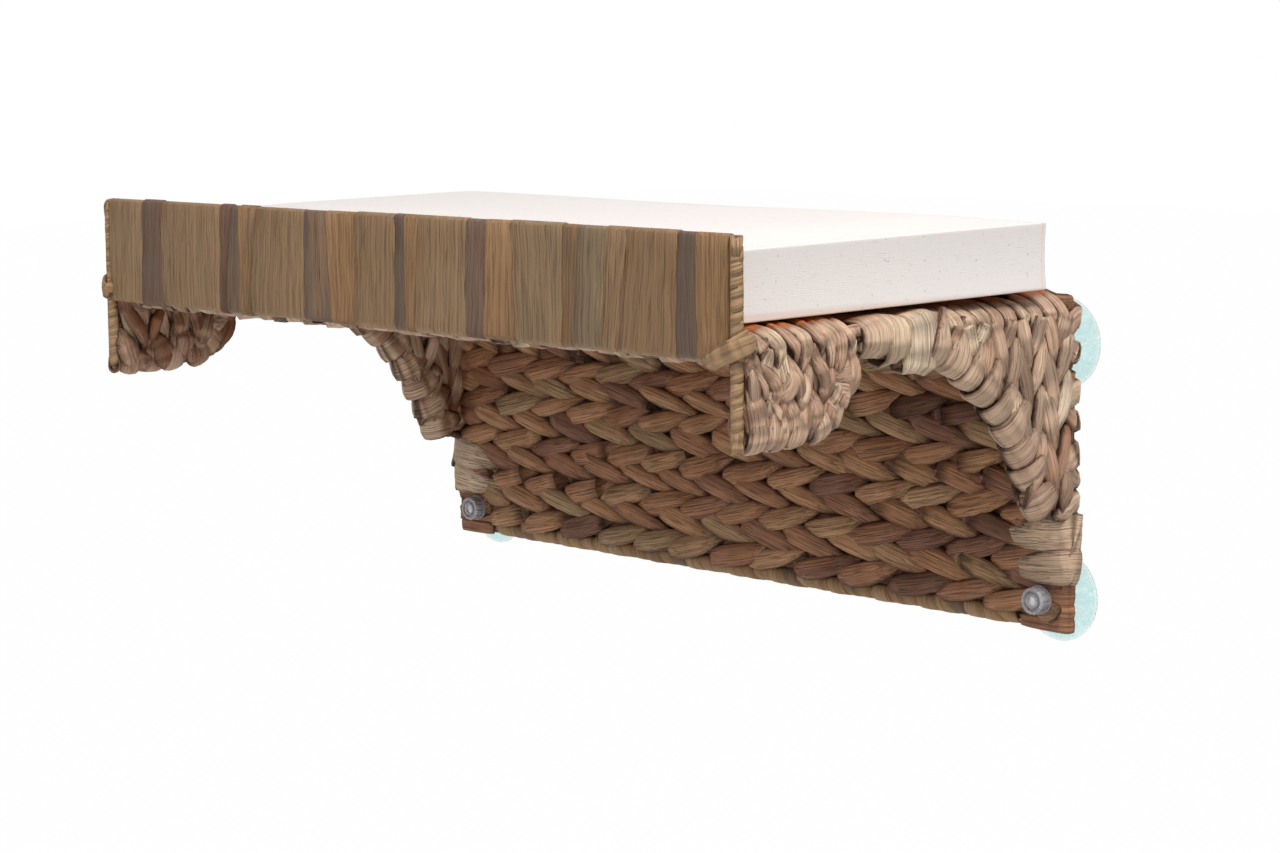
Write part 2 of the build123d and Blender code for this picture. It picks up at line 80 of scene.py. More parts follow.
class Flow:
    """A socket of a node tree, whose sums and products become Math nodes."""

    def __init__(self, tree, socket=None):
        self.tree = tree
        self.socket = socket

    def node(self, kind, settings=None, sockets=None, out=0):
        """Adds a shader node: its settings first, then its sockets' values or links."""
        made = self.tree.nodes.new("ShaderNode" + kind)
        for name, value in (settings or {}).items():
            if name == "stops":
                ramp = made.color_ramp.elements
                for place, *colour in value[1:-1]:
                    ramp.new(place)
                for stop, (place, *colour) in zip(ramp, value):
                    stop.position = place
                    stop.color = paint(*colour)
            else:
                setattr(made, name, value)
        self.feed(made, sockets or {})
        return Flow(self.tree, made.outputs[out] if made.outputs else None)

    def feed(self, node, sockets):
        """Gives a node's sockets their values or links."""
        for name, value in sockets.items():
            if isinstance(value, Flow):
                self.tree.links.new(value.socket, node.inputs[name])
            else:
                node.inputs[name].default_value = value

    def sum(self, operation, first, second=0.0, clamp=False):
        """A Math node of two values."""
        settings = {"operation": operation, "use_clamp": clamp}
        return self.node("Math", settings, {0: first, 1: second})

    def __add__(self, other):
        return self.sum("ADD", self, other)

    def __radd__(self, other):
        return self.sum("ADD", other, self)

    def __sub__(self, other):
        return self.sum("SUBTRACT", self, other)

    def __rsub__(self, other):
        return self.sum("SUBTRACT", other, self)

    def __mul__(self, other):
        return self.sum("MULTIPLY", self, other)

    def __truediv__(self, other):
        return self.sum("DIVIDE", self, other)

    def __abs__(self):
        return self.sum("ABSOLUTE", self)

    def held(self):
        """The value kept between 0 and 1."""
        return self.sum("ADD", self, 0.0, clamp=True)

    def over(self, low, high):
        """0 below low, 1 above high and straight between."""
        return ((self - low) / (high - low)).held()

    def blend(self, first, second):
        """A colour between two, by this value."""
        return self.node("Mix", {"data_type": "RGBA"}, {0: self, 6: first, 7: second}, out=2)

    def times(self, vector):
        """This vector, each part times its own number."""
        return self.node("VectorMath", {"operation": "MULTIPLY"}, {0: self, 1: vector})

    def noise(self, detail, roughness, scale=1.0):
        """Cloudy noise at this place."""
        return self.node("TexNoise", {}, {
            "Vector": self, "Scale": scale, "Detail": detail, "Roughness": roughness})

    def bump(self, strength, distance):
        """The surface's normal, with this value as its relief."""
        return self.node("Bump", {}, {
            "Strength": strength, "Distance": distance, "Height": self})

    def others(self, *names):
        """More outputs of the node that this value comes from."""
        return [Flow(self.tree, self.socket.node.outputs[name]) for name in names]

    def place(self):
        """Where the shaded point lies on its object."""
        return self.node("TexCoord", out="Object")


def new_finish(name):
    """A fresh material, its node tree as a Flow, and its surface shader."""
    material = bpy.data.materials.new(name)
    material.use_nodes = True
    tree = material.node_tree
    return material, Flow(tree), tree.nodes["Principled BSDF"]


def closed(name, form):
    """The mesh that a form in the making has become."""
    data = bpy.data.meshes.new(name)
    form.to_mesh(data)
    form.free()
    return data


def lamp(name, place, aim, size, power, colour):
    """A square soft lamp that faces a point."""
    data = bpy.data.lights.new(name, "AREA")
    data.size = size
    data.energy = power
    data.color = colour
    held = placed(name, data)
    held.location = place
    held.rotation_euler = (Vector(aim) - Vector(place)).to_track_quat("-Z", "Y").to_euler()


lamp("window_light", (1.47, -0.75, 2.45), (0, -0.16, 0), 1.3, 72, (1, 0.985, 0.97))
lamp("front_light", (-0.5, -2.7, 0.5), (0, -0.16, 0), 1.4, 9, (1, 0.99, 0.98))

world = bpy.data.worlds.new("room")
world.use_nodes = True
scene.world = world
air = Flow(world.node_tree)
world.node_tree.nodes.clear()


def seen_ray(flow):
    """1 for what the camera sees, straight or in metal, plastic and glass."""
    ray = flow.node("LightPath", out="Is Camera Ray")
    mirrored, through = ray.others("Is Glossy Ray", "Is Transmission Ray")
    return (ray + mirrored + through).held()


seen = seen_ray(air)
glow = air.node("Background", {}, {"Color": (1, 1, 1, 1), "Strength": seen * 0.7 + 0.3})
air.node("OutputWorld", {}, {"Surface": glow})

floor_level = -0.8
floor_reach = 14
floor_mesh = bmesh.new()
bmesh.ops.create_grid(floor_mesh, x_segments=8, y_segments=8, size=floor_reach)
bmesh.ops.translate(floor_mesh, verts=floor_mesh.verts[:], vec=(0, 0, floor_level))
floor = placed("floor", closed("floor", floor_mesh))
floor_finish, flow, shader = new_finish("pale_floor")
flow.feed(shader, {"Base Color": paint(236, 236, 235), "Roughness": 0.9})
shown = seen_ray(flow)
bright = flow.node("Emission", {}, {"Color": (1, 1, 1, 1), "Strength": 1.0})
flow.tree.links.new(
    flow.node("MixShader", {}, {
        0: shown * 0.99, 1: Flow(flow.tree, shader.outputs[0]), 2: bright}).socket,
    flow.tree.nodes["Material Output"].inputs["Surface"])
floor.data.materials.append(floor_finish)


# Wire frame: bent steel rod, welded at the crossings and painted brown; only glints of it show
# between the leaves

steel, flow, shader = new_finish("painted_rod")
place = flow.place()
specks = place.noise(3, 0.6, 420)
rubbed = specks.over(0.56, 0.68)
flow.feed(shader, {
    "Base Color": rubbed.blend(paint(84, 62, 48), paint(150, 118, 98)),
    "Metallic": rubbed * 0.7,
    "Roughness": 0.62 - rubbed * 0.22,
    "Normal": specks.bump(0.25, 0.0002)})

frame_names = (
    "front_post", "back_post", "side_rail", "ear_rod", "arch_rod", "apron_top_rod",
    "apron_bottom_rod", "back_top_rod", "back_bottom_rod", "deck_front_rod", "deck_wires",
    "back_wires", "corner_tab")


def coat(start, finish):
    """Gives every CAD node whose name starts so a finish."""
    for name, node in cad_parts.items():
        if name.startswith(start):
            node.data.materials.clear()
            node.data.materials.append(finish)


coat(frame_names, steel)


# Deck: eleven flat plaits of twisted water hyacinth leaf, laid over the wires from side to side;
# each leaf comes up at a plait's edge and dives under its partner at the middle

def unit(value):
    """The value kept between 0 and 1."""
    return min(1.0, max(0.0, value))


def grow(form, cap, step, first):
    """Extrudes a cap by a step, keeping the face under the first one, and gives the new cap."""
    grown = bmesh.ops.extrude_face_region(form, geom=cap, use_keep_orig=first)["geom"]
    verts = [part for part in grown if isinstance(part, bmesh.types.BMVert)]
    bmesh.ops.translate(form, verts=verts, vec=step)
    return [part for part in grown if isinstance(part, bmesh.types.BMFace)]


def leaf_form(rings, sides):
    """A closed round bar one long and one in radius, which every leaf is a bent copy of."""
    form = bmesh.new()
    bmesh.ops.create_circle(form, cap_ends=True, segments=sides, radius=1)
    bmesh.ops.rotate(form, verts=form.verts[:], matrix=Matrix.Rotation(pi / 2, 3, "Y"))
    cap = form.faces[:]
    for ring in range(rings - 1):
        cap = grow(form, cap, (1 / (rings - 1), 0, 0), ring == 0)
    bmesh.ops.recalc_face_normals(form, faces=form.faces[:])
    return closed("leaf_form", form)


forms = {rings: leaf_form(rings, sides) for rings, sides in ((7, 8), (11, 10), (17, 12))}


def spline(points, t):
    """A smooth curve through points, at t from 0 to 1."""
    spans = len(points) - 1
    at = unit(t) * spans
    i = min(int(at), spans - 1)
    f = at - i
    p1, p2 = points[i], points[i + 1]
    p0 = points[i - 1] if i > 0 else p1 * 2 - p2
    p3 = points[i + 2] if i + 2 <= spans else p2 * 2 - p1
    return 0.5 * (
        2 * p1 + (p2 - p0) * f + (2 * p0 - 5 * p1 + 4 * p2 - p3) * f * f
        + (3 * p1 - p0 - 3 * p2 + p3) * f * f * f)


def own_layers(mesh):
    """What the leaf finishes read of a mesh: place in the grain, tone, and painted shade."""
    layers = mesh.verts.layers
    return layers.float_vector.new("grain"), layers.float.new("tone"), layers.float.new("hollow")


class Bench:
    """One mesh in the making, out of many leaves."""

    def __init__(self, seed):
        self.mesh = bmesh.new()
        self.chance = random.Random(seed)
        self.grain, self.tone, self.hollow = own_layers(self.mesh)

    def leaf(self, points, outward, width, thick, tips, tone=None, turn=0.0, rings=7, fold=0.13, blunt=0.3,
             roll=0.0, first_tone=None, pale_from=0.42):
        """Lays one leaf along points, its face turned outward."""
        chance = self.chance
        count = len(self.mesh.verts)
        self.mesh.from_mesh(forms[rings], face_normals=False, vertex_normals=False)
        self.mesh.verts.ensure_lookup_table()
        length = sum((b - a).length for a, b in zip(points, points[1:]))
        start = Vector([chance.uniform(-3, 3) for axis in range(3)])
        shade = tone if tone is not None else unit(chance.gauss(0.5, 0.2))
        phase = chance.uniform(0, 6.3)
        lean = chance.uniform(-0.14, 0.14) + roll
        rows = []
        for ring in range(rings):
            t = ring / (rings - 1)
            at = spline(points, t)
            ahead = spline(points, min(1, t + 0.02)) - spline(points, max(0, t - 0.02))
            side = ahead.cross(spline(outward, t)).normalized()
            up = side.cross(ahead).normalized()
            angle = turn * (t - 0.5) + lean
            side, up = side * cos(angle) + up * sin(angle), up * cos(angle) - side * sin(angle)
            taper = min(
                tip + (1 - tip) * sin(pi / 2 * min(1, way / blunt))
                for tip, way in zip(tips, (t, 1 - t)))
            rows.append((at, side, up, taper))
        for vert in self.mesh.verts[count:]:
            t, across, above = vert.co
            at, side, up, taper = rows[round(t * (rings - 1))]
            ridge = 1 + fold * cos(3 * atan2(above, across) + phase + 1.8 * t)
            a = copysign(abs(across) ** 0.8, across) * width / 2 * taper * ridge
            b = above * thick / 2 * (0.35 + 0.65 * taper) * ridge
            vert.co = at + side * a + up * b
            vert[self.grain] = start + Vector((t * length, a, b))
            vert[self.tone] = shade
            if first_tone is not None:
                vert[self.tone] += (first_tone - shade) * unit((pale_from - t) / 0.12)
            # painted shade: darkest on the leaf's underside and sides and at its thin tips, where its
            # neighbours hide it
            vert[self.hollow] = 0.5 - 0.5 * above + 0.6 * (1 - taper)

    def done(self, name, finish, body, nodes):
        """Closes the mesh into a piece that stands for CAD nodes."""
        for face in self.mesh.faces:
            face.smooth = True
        self.mesh.normal_update()
        bmesh.ops.recalc_face_normals(self.mesh, faces=self.mesh.faces[:])
        piece = placed(name, closed(name, self.mesh))
        piece.data.materials.append(finish)
        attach(piece, body)
        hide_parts(*nodes)


def leaf_finish(name, stops, shading_colour, deepest, fine=1500.0, relief=0.0007, shade_strength=0.9, wide=1000.0,
                vary=0.5, streaked=0.0):
    """Dried leaf: fibres and wrinkles along it, folds, painted shade in its creases, sides and tips, and
    each leaf its own tone.
    """
    material, flow, shader = new_finish(name)
    grain, tone, hollow = (
        flow.node("Attribute", {"attribute_name": own}, out=out)
        for own, out in (("grain", "Vector"), ("tone", "Fac"), ("hollow", "Fac")))
    fibres = grain.times((20, fine, fine)).noise(2, 0.65)
    folds = grain.times((9, 400, 400)).noise(2, 0.55)
    wrinkles = grain.times((9, wide, wide)).noise(3, 0.6)
    patches = grain.times((26, 70, 70)).noise(2, 0.5)
    shade = (tone + (patches - 0.5) * vary + (fibres - 0.5) * vary).held()
    colour = flow.node("ValToRGB", {"stops": stops}, {0: shade})
    # painted shade: wrinkle lines, fold and fibre hollows and the leaf's hidden sides are darkened towards
    # the shading colour
    lines = 1 - abs(wrinkles - 0.5).over(0.004, 0.03)
    fold_shading = folds.over(0.42, 0.3)
    shadow = hollow.over(0.12, 0.62) * shade_strength
    shading_mask = (lines * 0.42 + fold_shading * 0.35 + shadow + fibres.over(0.42, 0.3) * 0.35).held()
    colour = shading_mask.blend(colour, shading_colour)
    spots = grain.times((30, wide * 0.5, wide * 0.5)).noise(3, 0.7).over(0.62, 0.72)
    colour = (spots * 0.5).blend(colour, deepest)
    if streaked:
        streaks = grain.times((11, 560, 560)).noise(3, 0.7).over(0.57, 0.68)
        colour = (streaks * streaked).blend(colour, deepest)
    flow.feed(shader, {
        "Base Color": colour,
        "Roughness": 0.52 + fibres * 0.2,
        "Specular IOR Level": 0.35,
        "Normal": (folds * 0.9 + fibres * 0.4 - lines * 0.5).bump(0.9, relief)})
    return material


# The first stop, a bright orange brown, is painted light: it lifts the leaves' ends on the deck, where the
# cushion shades them.
woven = leaf_finish(
    "twisted_leaf",
    [(0.0, 196, 108, 52), (0.07, 160, 110, 80), (0.32, 196, 157, 131), (0.5, 216, 181, 153),
     (0.68, 226, 194, 165), (0.84, 230, 202, 168), (1.0, 238, 214, 188)],
    paint(80, 50, 34), paint(60, 36, 26))

# A darker, more orange copy of the leaf finish, for the deck: painted shade for the deck under the cushion.
shaded_deck_leaf = leaf_finish(
    "shaded_deck_leaf",
    [(0.0, 104, 64, 38), (0.25, 150, 98, 60), (0.5, 176, 124, 80), (0.75, 190, 146, 104),
     (1.0, 206, 168, 126)],
    paint(96, 58, 34), paint(60, 34, 20))


class Plaits:
    """Rows of plaited leaf over a face: place(u, v, h) gives the point u along, v across and h above it."""

    def __init__(self, bench, place, spacing, width, thick, level):
        self.bench, self.place = bench, place
        self.spacing, self.width, self.thick, self.level = spacing, width, thick, level

    def row(self, start, foot, middle, half):
        """One plait of two half rows, its chevrons pointing along +u, as far as foot(v)."""
        chance = self.bench.chance
        for sign in (1, -1):
            across = middle + sign * half * 0.5
            end = foot(across)
            u = start - self.spacing * (0.8 if sign > 0 else 0.3) + chance.uniform(-0.1, 0.1) * self.spacing
            while u < end:
                length = 1.56 * self.spacing * chance.uniform(0.92, 1.1)
                first, last = max(u, start), min(u + length, end)
                if last - first > 0.3 * length:
                    self.one(u, length, first, last, middle, half * sign)
                u += self.spacing * chance.uniform(0.88, 1.12)
            self.core(start, end, across, abs(half))

    def one(self, u, length, first, last, middle, half):
        """One leaf: up out of the plait's edge, proud halfway, and down under its partner inside."""
        chance = self.bench.chance
        aside = chance.uniform(-0.05, 0.05) * abs(half)
        slope = chance.uniform(1.04, 1.2)
        lift = chance.uniform(-0.08, 0.1) * self.thick
        points = []
        outward = []
        for share in (0, 0.1, 0.3, 0.55, 0.8, 1):
            along = first + (last - first) * share
            t = (along - u) / length
            across = middle + half * (1.0 - slope * t + 0.1 * sin(pi * t)) + aside
            rise = 1.0 * sin(pi * min(1, t * 1.12)) ** 0.6 if t < 0.893 else 0.0
            rise -= 0.58 + 0.6 * max(0.0, 1 - t / 0.12) ** 2 + 3.0 * max(0.0, t - 0.87)
            height = self.level + lift + self.thick * (0.5 * rise - 0.21)
            points.append(self.place(along, across, height))
            above = self.place(along, across, height + 0.001) - points[-1]
            outward.append(above.normalized())
        self.bench.leaf(
            points, outward, self.width * chance.uniform(0.86, 1.14), self.thick * chance.uniform(0.9, 1.08),
            tips=(0.4 if first == u else 0.8, 0.12), turn=chance.uniform(-0.4, 0.4), blunt=0.48)

    def core(self, start, end, across, width):
        """The run of leaf inside a half row, which the plaited leaves lie over."""
        points = [self.place(start + (end - start) * step / 4, across, 0.0008) for step in range(5)]
        above = (self.place(start, across, 0.01) - self.place(start, across, 0)).normalized()
        self.bench.leaf(points, [above] * 5, width * 1.1, self.thick * 0.5, tips=(1, 1), tone=0.14)


post_x = 0.3013
post_y = -0.3230
back_x = 0.2865
back_y = -0.0157
deck_middle = 0.1065
deck_front = -0.3051
deck_back = -0.0212
deck_plaits = 11
deck_pitch = (deck_back - deck_front) / deck_plaits


def rail_place(y):
    """How far the side rail stands from the middle at a depth y."""
    return post_x - (y - post_y) * (post_x - back_x) / (back_y - post_y)


bench = Bench(11)
for face in (1, -1):
    plaits = Plaits(
        bench, lambda u, v, h, face=face: Vector((u, v, deck_middle + face * h)),
        0.0405, 0.0150, 0.0078, 0.0055 if face > 0 else 0.0079)
    for number in range(deck_plaits):
        y = deck_front + deck_pitch * (number + 0.5)
        edge = rail_place(y) - (0.020 if face > 0 else 0.004)
        plaits.row(-edge, lambda v, edge=edge: edge, y, deck_pitch / 2)
bench.done("deck_plaits", shaded_deck_leaf, "perch", ["deck_weave"])


# Deck's front edge: leaves looped round the front rod, one beside the other, behind the apron

def loop_over(bench, points, outward, width, thick, tips, rings=11, turn=0.0, tone=None, fold=0.1):
    """A leaf laid over an edge: points and outward are written as plain threes."""
    points, outward = ([Vector(three) for three in part] for part in (points, outward))
    bench.leaf(points, outward, width, thick, tips, tone, turn, rings, fold)


def places(bench, first, last, widest):
    """Where the loops along an edge stand, and the width of each."""
    x = first
    while x < last:
        pitch = bench.chance.uniform(0.0125, widest)
        yield x, pitch
        x += pitch


bench = Bench(12)
for x, pitch in places(bench, -0.292, 0.293, 0.0165):
    lean = bench.chance.uniform(-0.003, 0.006)
    drop = bench.chance.uniform(-0.0008, 0.0008)
    loop_over(
        bench,
        [(x - lean, -0.296, 0.1108), (x - lean, -0.304, 0.1115), (x, -0.3135, 0.1105), (x, -0.3166, 0.103),
         (x, -0.3155, 0.0955 + drop), (x + lean, -0.3095, 0.0936 + drop), (x + 2 * lean, -0.303, 0.0955),
         (x + 2 * lean, -0.294, 0.1015)],
        [(0, 0, 1), (0, -0.2, 1), (0, -1, 0.8), (0, -1, 0), (0, -1, -0.8), (0, 0, -1), (0, 0.4, -1),
         (0, 0.2, -1)],
        pitch * 1.12, 0.005, tips=(0.4, 0.3))
bench.done("deck_front_loops", woven, "perch", ["deck_front_wrap"])


# Back panel: seven plaits of browner leaf that lie flat against the window, with loops over its
# top edge

back_foot = -0.0883
back_top = 0.1115
back_plaits = 7
back_pitch = (back_top - back_foot) / back_plaits

brown = leaf_finish(
    "brown_leaf",
    [(0.0, 106, 70, 52), (0.2, 144, 100, 80), (0.36, 168, 118, 86), (0.5, 188, 136, 98),
     (0.66, 198, 151, 110), (0.82, 170, 140, 104), (1.0, 200, 160, 122)],
    paint(84, 54, 38), paint(54, 33, 26))

washer_low, washer_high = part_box("cup_washer_upper_right")
stud_x = (washer_low[0] + washer_high[0]) / 2
stud_z = (washer_low[2] + washer_high[2]) / 2
clamp_radius = (washer_high[0] - washer_low[0]) / 2 + 0.0062
clamp_ease = 0.0060
clamp_seat = washer_high[1] + 0.0003
clamp_fall = 0.0075


def press(bench):
    """Flattens the leaf under a washer, as its nut clamps it, and eases out round it."""
    for vert in bench.mesh.verts:
        away = hypot(abs(vert.co.x) - stud_x, abs(vert.co.z) - stud_z)
        rise = unit((away - clamp_radius) / clamp_ease)
        seat = clamp_seat - clamp_fall * rise * rise * (3 - 2 * rise)
        if vert.co.y < seat and away < clamp_radius + clamp_ease:
            vert.co.y = seat - (seat - vert.co.y) * 0.03 * (1 + 12 * rise)


bench = Bench(21)
for face in (-1, 1):
    plaits = Plaits(
        bench, lambda u, v, h, face=face: Vector((u, back_y + face * h, v)),
        0.0405, 0.0164, 0.0068, 0.0062)
    for number in range(back_plaits):
        plaits.row(-0.288, lambda v: 0.288, back_foot + back_pitch * (number + 0.5), back_pitch / 2)
for side in (1, -1):
    bench.leaf(
        [Vector((side * 0.2868, back_y, -0.0660)), Vector((side * 0.2868, back_y, 0.0640))],
        [Vector((0, -1, 0))] * 2, 0.0105, 0.0095, tips=(1, 1), tone=0.45)
for x, pitch in places(bench, -0.25, 0.251, 0.016):
    lean = bench.chance.uniform(-0.004, 0.004)
    loop_over(
        bench,
        [(x - lean, -0.044, 0.1100), (x - lean, -0.030, 0.1108), (x, -0.017, 0.1108), (x, -0.0105, 0.106),
         (x + lean, -0.0098, 0.097), (x + lean, -0.0112, 0.082)],
        [(0, 0, 1), (0, 0, 1), (0, 0.5, 1), (0, 1, 0.5), (0, 1, 0), (0, 1, 0)],
        pitch * 1.12, 0.005, tips=(0.4, 0.2))
press(bench)
bench.done("back_plaits", brown, "perch", ["back_weave"])


# Foot of the back panel: one flat strip of pale leaf, wound round the bottom rod from corner to
# corner

flat = leaf_finish(
    "flat_leaf",
    [(0.0, 80, 54, 40), (0.14, 124, 95, 77), (0.28, 118, 100, 86), (0.42, 154, 118, 80),
     (0.56, 171, 135, 97), (0.72, 180, 146, 109), (0.86, 152, 131, 101), (1.0, 190, 158, 124)],
    paint(108, 76, 50), paint(72, 46, 32), fine=1300.0, relief=0.0004, shade_strength=0.4, wide=640.0, vary=0.26,
    streaked=0.55)


def wound_strip(bench, start, axis, radius, length, pitch, thick, shade, spread):
    """A flat strip wound round a rod, each turn's edge lying on the last."""
    steps = 14
    mesh = bench.mesh
    chance = bench.chance
    start = Vector(start)
    axis = Vector(axis)
    aside = axis.orthogonal().normalized()
    inner = radius - thick
    broad = pitch * 1.12
    section = [
        (0.0, inner), (0.0, radius), (pitch * 0.5, radius + thick * 0.35), (broad, radius - thick * 0.2),
        (broad, inner - thick * 0.4)]
    count = len(mesh.verts)
    verts = [mesh.verts.new(start + axis * along + aside * out) for along, out in section]
    edges = [mesh.edges.new((verts[i], verts[(i + 1) % len(verts)])) for i in range(len(verts))]
    turns = (length - broad) / pitch
    total = max(3, round(turns * steps))
    bmesh.ops.spin(
        mesh, geom=verts + edges, cent=start, axis=axis, dvec=axis * (length - broad) / total,
        angle=2 * pi * turns, steps=total, use_duplicate=False)
    bmesh.ops.holes_fill(mesh, edges=[edge for edge in mesh.edges if len(edge.link_faces) == 1])
    mesh.verts.ensure_lookup_table()
    shades = [unit(chance.gauss(shade, spread)) for turn in range(int(turns) + 3)]
    phase = chance.uniform(0, 6.3)
    for index, vert in enumerate(mesh.verts[count:]):
        step, corner = divmod(index, len(section))
        turn = step / steps
        low = int(turn)
        along = turn * 2 * pi * radius
        wobble = thick * 0.3 * (sin(3.4 * pi * turn + phase) + sin(4.3 * turn + phase))
        out = vert.co - start - axis * (vert.co - start).dot(axis)
        vert.co += out.normalized() * wobble
        vert[bench.grain] = Vector((along, section[corner][0] + low * 0.37, section[corner][1]))
        vert[bench.tone] = shades[low] + (shades[low + 1] - shades[low]) * (turn - low) ** 3
        vert[bench.hollow] = 0.1


bench = Bench(31)
wound_strip(bench, (-0.2543, back_y, -0.094), (1, 0, 0), 0.0055, 0.5086, 0.0135, 0.0009, 0.5, 0.14)
bench.done("foot_winding", flat, "perch", ["back_foot_wrap"])


# Four corners of the back panel: smooth flat leaf laid round the edge over the steel tab, pressed
# flat where the clear nut clamps it

corner_path = (                 # in from the edge, depth, then which way the leaf faces there
    (0.0375, -0.0190, 0, -1), (0.0300, -0.0197, 0, -1), (0.0140, -0.0197, 0, -1), (0.0025, -0.0193, 0.9, -1),
    (0.0008, back_y, 1, 0), (0.0025, -0.0122, 0.9, 1), (0.0140, -0.0118, 0, 1), (0.0300, -0.0118, 0, 1),
    (0.0375, -0.0122, 0, 1))
band_width = 0.0088

bench = Bench(41)
for side in (1, -1):
    for low, high in ((-0.0995, -0.0655), (0.0655, 0.1115)):
        bands = round((high - low) / band_width)
        width = (high - low) / bands
        for number in range(bands):
            z = low + width * (number + 0.5)
            x = side * (0.2925 if low < 0 else 0.2890)
            thick = 0.0028 + bench.chance.uniform(0, 0.0003)
            loop_over(
                bench, [(x - side * back, y, z) for back, y, out, rear in corner_path],
                [(side * out, rear, 0) for back, y, out, rear in corner_path], width * 1.16, thick,
                tips=(0.8, 0.8), rings=17, fold=0.04, tone=bench.chance.uniform(0.3, 0.55))
press(bench)
bench.done(
    "corner_leaf", brown, "perch",
    [f"corner_wrap_{level}_{side}" for level in ("lower", "upper") for side in ("left", "right")])


# Side panels: where the deck's plaits end, their leaves come over the rail and go on downwards, as
# the short ear at the front and as the bracket that the arch rod closes at the back

sides = ((1, "right"), (-1, "left"))
rail_top = 0.1115
side_origin = Vector((post_x, post_y, 0))
side_along = Vector((-0.0481, 0.99884, 0))
side_out = Vector((0.99884, 0.0481, 0))


def side_place(side):
    """place(u, v, h) on a side panel: u down from the top, v back from the front post, h outwards."""
    def place(u, v, h):
        point = side_origin + side_along * v + side_out * h
        return Vector((side * point.x, point.y, rail_top - u))
    return place


def rail_caps(bench, side, caps):
    """Leaves off the deck, over the rail and down outside: place on the rail, end, drop, width in mm."""
    place = side_place(side)
    chance = bench.chance
    out = place(0, 0, 1) - place(0, 0, 0)
    up = Vector((0, 0, 1))
    for start, end, drop, width in caps:
        s, end, drop = start / 1000, end / 1000, drop / 1000
        slant = min(chance.choice((-1, 1)) * chance.uniform(0.003, 0.009), s - 0.012)
        hump = 0.0035 * unit((s - 0.262) / 0.02)
        lift = chance.uniform(-0.0006, 0.0006)
        points = [
            place(-0.0012 - hump, s - slant, -0.034), place(-0.0004 - hump, s - slant * 0.5, -0.018),
            place(0.0026 - hump * 0.4 - lift, s, -0.004), place(0.0078, s, 0.0042 + lift),
            place(drop * 0.55, s + (end - s) * 0.5, 0.0056 + lift), place(drop, end, 0.0018)]
        # the ends on the deck take the finish's bright orange first stop (first_tone): painted light where
        # the cushion shades them
        bench.leaf(
            points, [up, up, up + out * 0.4, out + up * 0.5, out, out], width / 1000, 0.0054,
            tips=(0.7, 0.16), rings=17, turn=chance.uniform(-0.4, 0.4), blunt=0.46,
            tone=min(0.9, max(0.2, chance.gauss(0.5, 0.13))), first_tone=-0.14)


def strands(bench, side, laid, level, face=1, shades=(0.42, 0.13)):
    """Leaves that twist over a side panel: width, then spots back from the post and down, in mm."""
    place = side_place(side)
    chance = bench.chance
    out = (place(0, 0, 1) - place(0, 0, 0)) * face
    for width, *spots in laid:
        lift = level + chance.uniform(-0.0005, 0.0005)
        points = []
        for number in range(5):
            spot = spline([Vector(spot) for spot in spots], number / 4) / 1000
            rise = (-0.0030, -0.0004, 0.0007, -0.0004, -0.0032)[number]
            points.append(place(spot.y, spot.x, face * (lift + rise)))
        bench.leaf(
            points, [out] * 5, width / 1000, 0.0058, tips=(0.35, 0.2), rings=11,
            turn=chance.uniform(-0.5, 0.5), blunt=0.42, tone=unit(chance.gauss(*shades)))


def hem(bench, side, edge, outward, width, arms, thick, lean, tone, proud=0.0048, roll=0.0, fold=0.1):
    """A leaf looped under an edge of a side panel, from its outer face round to its inner face."""
    place = side_place(side)
    base = Vector(edge)
    away = Vector(outward).normalized()
    drift = Vector((away.y, -away.x)) * lean

    def at(back, h, shift):
        spot = base - away * back + drift * shift
        return place(rail_top - spot.y, spot.x, h)

    down = at(-1, 0, 0) - at(0, 0, 0)
    out = at(0, 1, 0) - at(0, 0, 0)
    points = [
        at(arms[0], proud - 0.0034, 1), at(arms[0] * 0.5, proud, 0.6), at(0.0025, proud * 0.98, 0.2),
        at(-0.0032, 0.0, 0), at(0.0025, -proud * 0.9, -0.2), at(arms[1] * 0.5, -proud * 0.9, -0.6),
        at(arms[1], 0.003 - proud, -1)]
    bench.leaf(
        points, [out, out, out + down * 0.6, down, down * 0.6 - out, -out, -out], width, thick,
        tips=(0.3, 0.3), rings=17, turn=bench.chance.uniform(-0.1, 0.1), tone=tone, roll=roll, fold=fold)


def side_plaits(bench, side, first, last, foot, levels):
    """One plait down each face of a side panel, between its cap and the edge below."""
    place = side_place(side)
    for face, level in zip((1, -1), levels):
        plaits = Plaits(
            bench, lambda u, v, h, face=face: place(u, v, face * h), 0.029, (last - first) * 0.5, 0.0066,
            level)
        plaits.row(0.010 if face > 0 else 0.016, foot, (first + last) / 2, (last - first) / 2)


ear_start = 0.0039
ear_end = 0.0965
ear_foot = 0.0445
ear_bend = 0.0395

